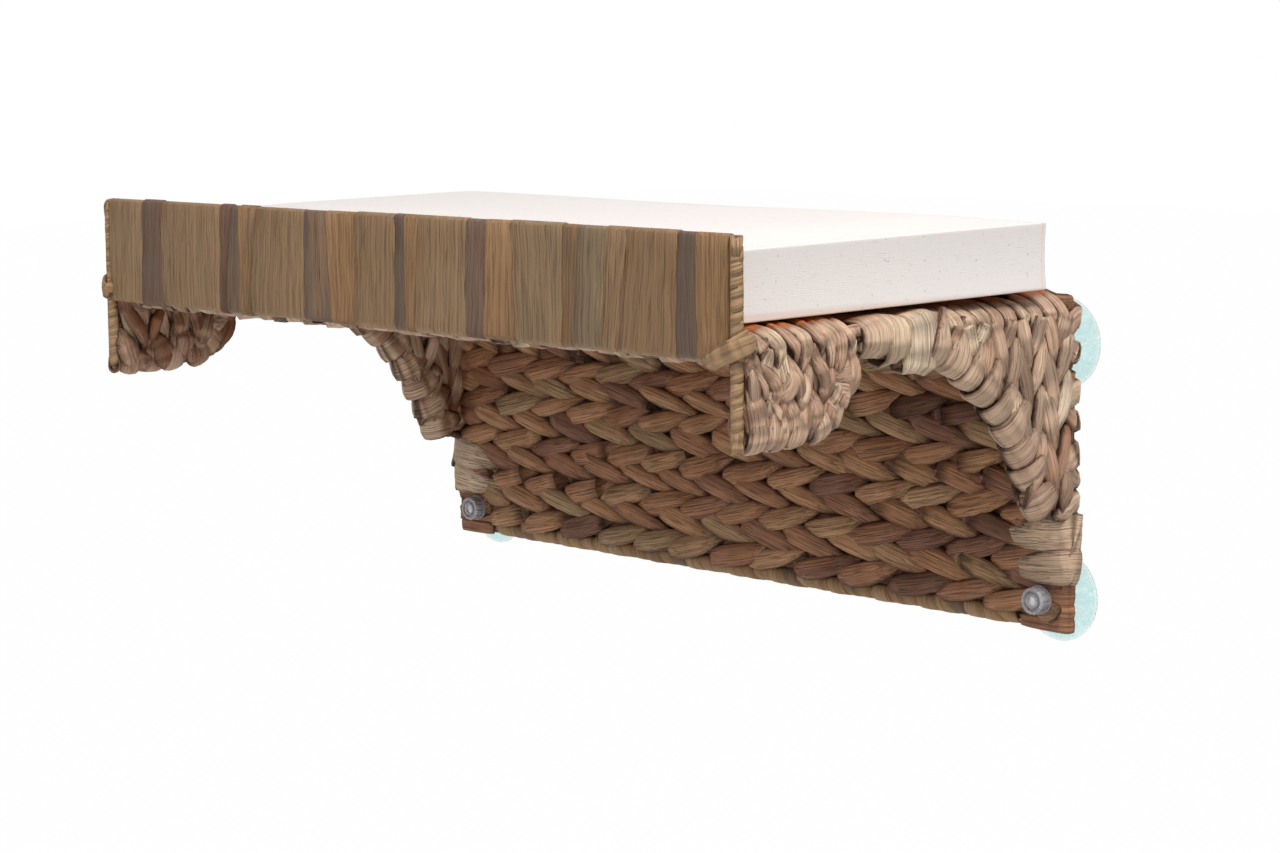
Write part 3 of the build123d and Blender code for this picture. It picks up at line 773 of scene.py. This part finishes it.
ear_caps = (
    (7, 5.5, 15, 9), (14.7, 17, 17.6, 12), (29, 30, 24, 12), (40.7, 45, 23, 9), (52.7, 49, 31, 13),
    (64.7, 66, 20, 9), (72, 73, 36, 7), (81, 79, 40, 14), (90, 91, 21, 9))
ear_middle = (
    (9.5, (10.7, 15), (26, 31), (24.7, 45)), (5.5, (5.3, 16), (14.7, 30), (17, 38)),
    (10.7, (36, 18), (38.7, 30), (26.7, 46)), (7.5, (34.7, 13), (44.7, 30), (46.7, 48)),
    (8, (53, 24), (49, 37), (45, 49)), (10, (57, 13), (67, 30), (65, 47)),
    (7, (75, 20), (71, 33), (65, 45)), (7, (84, 31), (76, 41), (69, 49)),
    (12, (90, 12), (93, 30), (84, 46)), (9, (8, 17), (7, 30), (11, 44)))
ear_low = (
    (16, (6.5, 26), (10.5, 46), (15, 66)), (9, (19, 34), (31, 52), (24, 67)),
    (8, (36, 35), (29.5, 48), (27, 63)), (12, (35, 33), (41, 52), (38, 66)),
    (8, (51, 29), (50, 50), (45, 66)), (13, (55, 33), (60, 50), (57, 63)),
    (11, (76, 36), (71, 50), (66, 60)), (6, (87, 33), (80, 43), (75, 50)),
    (8, (61, 36), (53, 50), (51, 63)))
ear_inside = (
    (11, (2.6, 18), (14, 33), (27, 54)), (8, (9, 15), (18.6, 23), (24, 37)),
    (10, (39, 19), (30, 33), (26, 50)), (15, (4, 36), (8, 52), (13, 66)),
    (17, (30, 40), (36, 55), (38, 66)), (8, (45, 22), (49, 35), (46, 48)),
    (14, (52, 37), (53, 49), (50, 64)), (12, (59, 22), (65, 36), (67, 51)),
    (12, (77, 23), (71, 39), (65, 59)), (14, (89, 24), (88, 40), (78, 57)),
    (12, (22, 50), (20, 58), (23, 66)), (12, (58, 48), (60, 57), (61, 64)),
    (12, (10, 6), (7, 16), (10, 30)), (12, (24, 6), (28, 16), (32, 30)),
    (12, (40, 6), (36, 14), (38, 26)), (12, (53, 6), (56, 14), (57, 28)),
    (12, (68, 6), (70, 16), (74, 30)), (12, (84, 6), (80, 14), (82, 26)))


def ear_depth(s):
    """How far below the top the ear's leaves reach, s back from the post."""
    bend = unit((s - (ear_end - ear_bend)) / ear_bend)
    return rail_top - ear_foot - ear_bend * (1 - sqrt(1 - bend * bend)) - 0.004


for side, name in sides:
    bench = Bench(51 + side)
    chance = bench.chance
    width = (ear_end - ear_start) / 7
    rail_caps(bench, side, ear_caps)
    strands(bench, side, ear_middle, 0.0054)
    strands(bench, side, ear_low, 0.0048)
    # the inner face's leaves take darker tones than the outer face's: painted shade, as the inner face lies
    # in shade
    strands(bench, side, ear_inside, 0.0052, -1, (0.2, 0.06))
    for pair in range(4):
        first = ear_start + width * 2 * pair
        side_plaits(bench, side, first, min(first + 2 * width, ear_end), ear_depth, (0.0030, 0.0030))
    for s, broad in ((0.0115, 0.0165), (0.0280, 0.0185), (0.0445, 0.0170)):
        hem(
            bench, side, (s, ear_foot + 0.0050), (0, -1), broad, (0.024, 0.022),
            lean=chance.uniform(-0.003, 0.003), thick=0.0060, tone=chance.uniform(0.35, 0.55))
    for angle in (-72, -46, -22, 2):
        centre = Vector((ear_end - ear_bend, ear_foot + ear_bend))
        away = Vector((cos(radians(angle)), sin(radians(angle))))
        hem(
            bench, side, centre + away * (ear_bend - 0.0050), away, 0.0175, (0.022, 0.020),
            lean=chance.uniform(-0.003, 0.003), thick=0.0058, tone=chance.uniform(0.35, 0.6))
    bench.done(f"ear_plaits_{name}", woven, "perch", [f"ear_weave_{name}"])


# Bare stretch of each side rail: a narrow strip wound round the rod, then three broad flat turns of
# smooth leaf before the bracket, each hanging lower than the one in front of it

for side, name in sides:
    bench = Bench(61 + side)
    place = side_place(side)
    out = place(0, 0, 1) - place(0, 0, 0)
    back = place(0, 1, 0) - place(0, 0, 0)
    up = Vector((0, 0, 1))
    wound_strip(bench, place(0.0060, 0.0840, 0.0), back, 0.0036, 0.036, 0.0070, 0.0005, 0.45, 0.05)
    for middle, broad, drop, shade, proud in (
            (0.1140, 0.0250, 0.0221, 0.70, 0.0066), (0.1340, 0.0270, 0.0268, 0.82, 0.0059),
            (0.1540, 0.0310, 0.0342, 0.92, 0.0052)):
        bench.leaf(
            [place(0.0060, middle, 0), place(drop - 0.0025, middle - 0.001, 0)], [out, out], broad * 0.97,
            0.0085, tips=(1, 1), tone=0.5)
        top = middle - 0.001
        foot = middle - 0.002
        # the inner end on the deck leans to the bright orange first stop (first_tone): painted light where
        # the cushion shades it
        bench.leaf(
            [place(*spot) for spot in (
                (0.0012, top - 0.003, -0.030), (0.0008, top - 0.001, -0.012), (0.0014, top, 0),
                (0.006, middle, proud - 0.0006), (drop * 0.55, middle + 0.0005, proud),
                (drop - 0.005, middle, proud - 0.0008), (drop - 0.0006, foot, 0),
                (drop - 0.005, foot - 0.002, -0.0050), (drop * 0.6, foot - 0.002, -0.0058),
                (0.016, foot - 0.002, -0.0060), (0.0135, foot - 0.002, -0.020))],
            [up, up, up + out * 0.3, out + up * 0.5, out, out - up * 0.4, -up, -out - up * 0.5, -out,
             -out - up * 0.4, -up],
            broad, 0.0046, tips=(0.75, 0.75), rings=17, tone=shade, fold=0.02, first_tone=0.05,
            pale_from=0.24)
    bench.done(f"rail_bands_{name}", woven, "perch", [f"rail_wraps_{name}"])


# Brackets: the plaits hang to the curved arch rod, which leaves close with broad loops; more loops
# hold the rear edge to the back post

bracket_start = 0.1673
bracket_end = 0.3017
arch_centre = Vector((0.1015, -0.0804))
arch_reach = 0.1749
back_wraps = (
    (-0.0584, 0.0240, 0.012, 0.002, 0.0095), (-0.0385, 0.0290, 0.016, 0.003, 0.0095),
    (-0.0170, 0.0150, 0.018, -0.004, 0.0062), (-0.0020, 0.0135, 0.024, 0.005, 0.0058),
    (0.0130, 0.0160, 0.014, -0.004, 0.0062), (0.0340, 0.0130, 0.022, 0.006, 0.0056),
    (0.0520, 0.0150, 0.016, -0.003, 0.0062), (0.0770, 0.0140, 0.026, 0.004, 0.0056),
    (0.0980, 0.0150, 0.014, -0.005, 0.0060))


def bracket_depth(s):
    """How far below the top the bracket's leaves reach, s back from the post."""
    height = sqrt(max(0.0, arch_reach ** 2 - (s - arch_centre.x) ** 2))
    return min(rail_top - arch_centre.y - height, rail_top + 0.0339) - 0.012


for side, name in sides:
    bench = Bench(71 + side)
    chance = bench.chance
    width = (bracket_end - bracket_start) / 10
    place = side_place(side)
    caps = []
    for number in range(10):
        s = (bracket_start + width * (number + 0.5)) * 1000
        caps.append((s, s + chance.uniform(-4, 4), chance.uniform(19, 37), chance.uniform(12, 14.5)))
    rail_caps(bench, side, caps)
    for pair in range(5):
        first = bracket_start + width * 2 * pair
        levels = (0.0066, 0.0016 if pair == 4 else 0.0066)
        side_plaits(bench, side, first, first + 2 * width, bracket_depth, levels)
    for number in range(9):
        angle = radians(67 - 5.7 * number)
        away = Vector((-cos(angle), -sin(angle)))
        spot = arch_centre - away * (arch_reach + 0.0050)
        hem(
            bench, side, spot, away, chance.uniform(0.0200, 0.0235), (chance.uniform(0.026, 0.034), 0.026),
            lean=chance.uniform(0.002, 0.008), thick=0.0060, proud=0.0070, tone=chance.uniform(0.42, 0.72),
            roll=0.24, fold=0.03)
    x = side * back_x
    for z, width, reach, slip, bulge in back_wraps:
        inner = z < -0.03
        raised = 0.0042 if abs(z) < 0.056 else 0.0
        points = [
            (x + side * (bulge - 0.0012), back_y - reach, z + slip * 2),
            (x + side * (bulge + 0.0008), back_y - 0.008, z + slip)]
        faces = [(side, 0, 0), (side, 0, 0)]
        if inner:
            points = [
                (x - side * 0.046, -0.0212, z - 0.004), (x - side * 0.018, -0.0240, z - 0.002),
                (x + side * 0.001, -0.0240, z), (x + side * 0.0080, -0.0200, z + slip * 0.5)]
            faces = [(0, -1, 0), (0, -1, 0), (side * 0.6, -1, 0), (side, -0.4, 0)]
        loop_over(
            bench,
            points + [
                (x + side * (bulge - 0.0004), back_y, z), (x + side * 0.004, back_y + 0.0048, z),
                (x - side * 0.010, back_y + 0.0058 + raised * 0.6, z - slip),
                (x - side * 0.032, back_y + 0.0042 + raised, z - slip * 2)],
            faces + [(side, 0.3, 0), (side * 0.7, 1, 0), (0, 1, 0), (0, 1, 0)],
            width, 0.0056, tips=(0.35, 0.25), turn=chance.uniform(-0.2, 0.2),
            tone=chance.uniform(0.6, 0.8) if inner else chance.uniform(0.35, 0.7), rings=17 if inner else 11,
            fold=0.03 if inner else 0.1)
    bench.done(f"bracket_plaits_{name}", woven, "perch", [f"bracket_weave_{name}"])


# Front posts: each is bound from the ear's foot to the apron's top with one narrow strip of leaf,
# and a short leaf is folded over each end of the rod

for side, name in sides:
    bench = Bench(81 + side)
    wound_strip(
        bench, (side * post_x, post_y, 0.0460), (0, 0, 1), 0.0037, 0.1190, 0.0066, 0.00015, 0.73, 0.03)
    for end, up in ((0.1640, 1), (0.0465, -1)):
        loop_over(
            bench,
            [(side * 0.3037, -0.3254, end - up * 0.010), (side * 0.3036, -0.3253, end - up * 0.002),
             (side * post_x, post_y, end + up * 0.0008), (side * 0.2990, -0.3207, end - up * 0.002),
             (side * 0.2989, -0.3206, end - up * 0.010)],
            [(side, -1, 0), (side, -1, up), (0, 0, up), (-side, 1, up), (-side, 1, 0)],
            0.0074, 0.0014, tips=(0.5, 0.5), tone=0.66, fold=0.03)
    bench.done(f"post_winding_{name}", flat, "perch", [f"front_post_wrap_{name}"])


# Apron: a flat wall of broad leaf strips, each taken once round the top and bottom rods and
# pressed against its neighbour; the strips differ in width and shade

apron_strips = (
    (39, 0.66, 0), (23, 0.17, 1.5), (66, 0.64, -0.8), (9, 0.08, 1.0), (12, 0.28, 3.2), (15, 0.38, 0.5),
    (54, 0.62, 3.3), (25, 0.3, 1.0), (27, 0.46, -2.5), (39, 0.6, 0.6), (10, 0.3, 0.5), (11, 0.42, 0),
    (46, 0.68, 2.0), (17, 0.22, 1.0), (26, 0.48, 1.7), (42, 0.74, -2.2), (10, 0.4, 0.8), (25, 0.85, 1.7),
    (15, 0.64, 2.0), (44, 0.56, 4.5), (16, 0.27, 1.0), (24, 0.45, -0.8))
apron_total = sum(share for share, shade, lean in apron_strips)
apron_leans = [lean / 1000 for share, shade, lean in apron_strips] + [0]
apron_width = 0.5952
apron_middle = 0.13075
apron_straight = 0.0318         # half the height between the rods' middles

bench = Bench(91)
chance = bench.chance
left = -apron_width / 2
for number, (share, shade, lean) in enumerate(apron_strips):
    width = apron_width * share / apron_total
    lean = apron_leans[number]
    spread = apron_leans[number + 1] - lean
    strip = bmesh.new()
    ring = bmesh.ops.create_circle(strip, segments=14, radius=0.0037 + chance.uniform(0.0, 0.0005))["verts"]
    bmesh.ops.rotate(strip, verts=ring, matrix=Matrix.Rotation(pi / 2, 3, "Y"))
    for vert in ring:
        vert.co.z += apron_straight if vert.co.z > 0 else -apron_straight
    bmesh.ops.subdivide_edges(strip, edges=[e for e in strip.edges if e.calc_length() > 0.03], cuts=7)
    bmesh.ops.translate(strip, verts=strip.verts[:], vec=(left - 0.0004, post_y, apron_middle))
    cap = bmesh.ops.contextual_create(strip, geom=strip.edges[:])["faces"]
    for part, reach in enumerate((0.0007, width / 3, width / 3, width / 3 - 0.0007, 0.0009)):
        cap = grow(strip, cap, (reach, 0, 0), part == 0)
    phase = chance.uniform(0, 6.3)
    start = Vector([chance.uniform(-3, 3) for axis in range(3)])
    grain, tone, hollow = own_layers(strip)
    for vert in strip.verts:
        across = vert.co.x - left
        edge = 1.0 if across < 0.0001 or across > width - 0.0001 else 0.0
        high = (vert.co.z - apron_middle) / 0.035
        vert[grain] = start + Vector((vert.co.z, across, vert.co.y * 0.5))
        vert[tone] = shade
        # painted shade along the strip's two edges, where it meets its neighbours
        vert[hollow] = 0.2 + 0.6 * edge
        level = max(-apron_straight, min(apron_straight, vert.co.z - apron_middle))
        around = vert.co - Vector((vert.co.x, post_y, apron_middle + level))
        swell = 0.0003 * sin(3 * high + phase) + 0.0002 * sin(7 * high + 2 * phase)
        vert.co += around.normalized() * (swell - 0.00045 * edge)
        vert.co.x += (lean + spread * across / width) * high
        if 0 < number < len(apron_strips) - 1:
            vert.co.x += 0.0004 * sin(2.2 * high + phase) + 0.0002 * sin(6 * high + phase * 3)
    bench.mesh.from_mesh(closed("strip", strip))
    left += width
bench.done("apron_leaf", flat, "perch", ["apron_strips"])


# Ties: at each end of the apron's foot one broad smooth leaf is folded round the apron's corner and
# the post, over a few narrow turns that bind them and the ear together

knot_path = [
    ((0.2760, -0.3235, 0.0935), (0, -1, -0.6)), ((0.2860, -0.3275, 0.0958), (0, -1, -0.1)),
    ((0.2965, -0.3296, 0.0998), (0.3, -1, 0.1)), ((0.3058, -0.3268, 0.1042), (1, -0.6, 0.1)),
    ((0.3086, -0.3192, 0.1068), (1, 0.2, 0)), ((0.3050, -0.3120, 0.1060), (0.6, 1, 0))]

for side, name in sides:
    bench = Bench(101 + side)
    low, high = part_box(f"corner_tie_{name}")
    middle = (low + high) / 2
    for number, (tilt, lift) in enumerate(((-0.5, -0.0035), (-0.1, 0.0), (0.6, 0.0030))):
        ring = []
        outward = []
        for step in range(9):
            turn = 2 * pi * step / 8 + 0.6 * number
            away = Vector((cos(turn), sin(turn), tilt * cos(turn - 0.6) * 0.55))
            ring.append(Vector((side * post_x, post_y, middle.z + lift)) + Vector((
                side * away.x * 0.0054, away.y * 0.0058, away.z * 0.012)))
            outward.append(Vector((side * away.x, away.y, 0)))
        bench.leaf(ring, outward, 0.0066, 0.0026, tips=(0.7, 0.7), rings=17, fold=0.06, tone=0.6)
    path = knot_path if side > 0 else knot_path[2:]
    spots, faces = ([(side * x, y, z) for x, y, z in part] for part in zip(*path))
    loop_over(
        bench, spots, faces, 0.0120, 0.0030, tips=(0.3, 0.5), tone=0.72, rings=17, fold=0.03)
    bench.done(f"corner_knot_{name}", flat, "perch", [f"corner_tie_{name}"])


# Cushion: a foam box in a cream cotton cover, which lies loose on the deck, a little askew and
# nearer the right side

cushion_middle = Vector((0.017, -0.1697, 0.1353))
cushion_turn = radians(-2.3)
cushion_size = Vector((0.555, 0.259, 0.041))
cushion_lift = Vector((0, 0, 0.0018))
cushion_tip = radians(0.8)
mesh_step = 0.013
puff_frames = 20

form = bmesh.new()
bmesh.ops.create_cube(form, size=1)
bmesh.ops.scale(form, vec=cushion_size, verts=form.verts[:])
for axis in range(3):
    reach = cushion_size[axis] / 2
    count = round(cushion_size[axis] / mesh_step)
    cuts = [-reach + 0.0012, reach - 0.0012, -reach + 0.005, reach - 0.005]
    cuts += [-reach + cushion_size[axis] * step / count for step in range(1, count)]
    normal = [0, 0, 0]
    normal[axis] = 1
    for cut in cuts:
        whole = form.verts[:] + form.edges[:] + form.faces[:]
        bmesh.ops.bisect_plane(form, geom=whole, plane_co=[cut * n for n in normal], plane_no=normal)
bmesh.ops.recalc_face_normals(form, faces=form.faces[:])
cushion = placed("cushion", closed("cushion", form))


def apply_modifiers(piece):
    """Bakes a piece's modifiers into its mesh as they stand in this frame."""
    held = bpy.context.evaluated_depsgraph_get()
    shaped = bpy.data.meshes.new_from_object(piece.evaluated_get(held))
    piece.modifiers.clear()
    piece.data = shaped


rest = [v.co.copy() for v in cushion.data.vertices]
cloth = cushion.modifiers.new("cloth", "CLOTH").settings
cloth.use_pressure = True
cloth.uniform_pressure_force = 4
cloth.effector_weights.gravity = 0
cloth.tension_stiffness = 30
cloth.compression_stiffness = 30
cloth.bending_stiffness = 0.8
for moment in range(1, puff_frames + 1):
    scene.frame_set(moment)
apply_modifiers(cushion)
scene.frame_set(1)
half = cushion_size / 2
for vert, was in zip(cushion.data.vertices, rest):
    from_side = max(0.0, min(half.x - abs(was.x), half.y - abs(was.y)))
    from_top = half.z - abs(was.z)
    slack = min(1.0, (from_side + from_top) / 0.05)
    shift = vert.co - was
    limit = 0.0012 + 0.0045 * slack
    if shift.length > limit:
        shift = shift * (limit / shift.length)
    vert.co = was + shift
    if was.z < -half.z + 0.004 and from_side > 0.012:
        vert.co.z = max(vert.co.z, -half.z + 0.0006)
finer = cushion.modifiers.new("finer", "SUBSURF")
finer.levels = 1
finer.render_levels = 1
apply_modifiers(cushion)
cushion.data.transform(
    Matrix.Translation(cushion_middle + cushion_lift) @ Matrix.Rotation(cushion_turn, 4, "Z")
    @ Matrix.Rotation(cushion_tip, 4, "X"))
cushion.data.shade_smooth()

cotton, flow, shader = new_finish("cream_cotton")
place = flow.place()
own = flow.node("Mapping", {"vector_type": "TEXTURE"}, {
    "Vector": place, "Location": tuple(cushion_middle), "Rotation": (0, 0, cushion_turn)})
axes = flow.node("SeparateXYZ", {}, {0: own}, out="X").others("X", "Y", "Z")
threads = [
    flow.node("TexWave", {"bands_direction": letter}, {
        "Vector": own, "Scale": 230.0, "Distortion": 2.2, "Detail": 2.0, "Detail Scale": 2.0}, out="Fac")
    for letter in "XYZ"]
weave = threads[0] * threads[1] + threads[1] * threads[2] + threads[2] * threads[0]
slubs = (
    own.times((900, 90, 900)).noise(2, 0.6).over(0.62, 0.72)
    + own.times((90, 900, 900)).noise(2, 0.6).over(0.62, 0.72))
flecks = own.noise(2, 0.5, 420).over(0.69, 0.75)
cloudy = own.noise(3, 0.55, 14)
away = [abs(axis) for axis in axes]
side_gap = flow.sum("MINIMUM", half.x - away[0], half.y - away[1])
on_side = 1 - side_gap.over(0.0015, 0.003)
level_seam = 1 - abs(axes[2] + (half.z - 0.0022)).over(0.0006, 0.003)
corner_gap = abs(half.y - away[1] - 0.0036)
corner_seam = (1 - corner_gap.over(0.0005, 0.0014)) * on_side
near_seam = flow.sum("MAXIMUM", level_seam * on_side, corner_seam)
warm = (near_seam * 0.45 + (cloudy - 0.55) * 0.1).held()
colour = warm.blend(paint(245, 239, 236), paint(242, 208, 178))
colour = (slubs * 0.22).held().blend(colour, paint(216, 204, 192))
colour = (flecks * 0.6).held().blend(colour, paint(178, 152, 134))
puckers = own.times((140, 140, 30)).noise(2, 0.5)
relief = weave * 0.07 + puckers * near_seam * 0.7 + slubs * 0.1 + cloudy * 1.2 - near_seam * 0.7
flow.feed(shader, {
    "Base Color": colour,
    "Roughness": 0.92,
    "Specular IOR Level": 0.2,
    "Sheen Weight": 0.15,
    "Normal": relief.bump(0.6, 0.0006)})
cushion.data.materials.append(cotton)
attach(cushion, "cushion")
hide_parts("cushion_cover", "cushion_foam")


# Suction cups: pale blue green soft vinyl, cloudy and a little wrinkled from the middle outwards,
# each moulded round the head of a steel stud

cup_x = 0.2713
cup_z = 0.0805

vinyl, flow, shader = new_finish("cup_vinyl")
place = flow.place()
x, z = flow.node("SeparateXYZ", {}, {0: place}, out="X").others("X", "Z")
across = abs(x) - cup_x
upward = abs(z) - cup_z
reach = flow.sum("SQRT", across * across + upward * upward)
round_way = flow.sum("ARCTAN2", upward, across)
rays = flow.node("CombineXYZ", {}, {0: round_way * 7.0, 1: reach * 90.0, 2: 0.0}).noise(3, 0.6)
mottle = place.noise(3, 0.6, 190)
rim = reach.over(0.0262, 0.0285)
colour = (rays * 0.5 + mottle * 0.5).over(0.4, 0.62).blend(paint(206, 240, 239), paint(228, 250, 250))
colour = (rim * 0.6).blend(colour, paint(250, 254, 253))
flow.feed(shader, {
    "Base Color": colour,
    "Roughness": 0.16 + mottle * 0.2,
    "IOR": 1.25,
    "Transmission Weight": 0.9,
    "Normal": (rays * 0.8 + mottle * 0.4).bump(0.45, 0.0007)})
coat("suction_cup", vinyl)


# Studs, washers and nuts: a steel stud comes through each corner, and a clear plastic washer and
# hand nut clamp the leaf to the cup

plated, flow, shader = new_finish("stud_steel")
place = flow.place()
dull = place.noise(3, 0.6, 600)
thread = flow.node(
    "TexWave", {"bands_direction": "Y"}, {"Vector": place, "Scale": 159.0}, out="Fac")
flow.feed(shader, {
    "Base Color": dull.over(0.3, 0.7).blend(paint(168, 166, 164), paint(214, 212, 210)),
    "Metallic": 0.95,
    "Roughness": 0.25 + dull * 0.25,
    "Normal": thread.bump(0.7, 0.0004)})
coat("cup_stud", plated)

clear, flow, shader = new_finish("clear_plastic")
place = flow.place()
scuffs = place.noise(4, 0.65, 700)
haze = scuffs.over(0.4, 0.75)
flow.feed(shader, {
    "Base Color": haze.blend(paint(236, 233, 242), paint(248, 246, 251)),
    "Roughness": 0.12 + haze * 0.25,
    "IOR": 1.46,
    "Transmission Weight": 0.62,
    "Normal": scuffs.bump(0.3, 0.0002)})
coat(("cup_nut", "cup_washer"), clear)
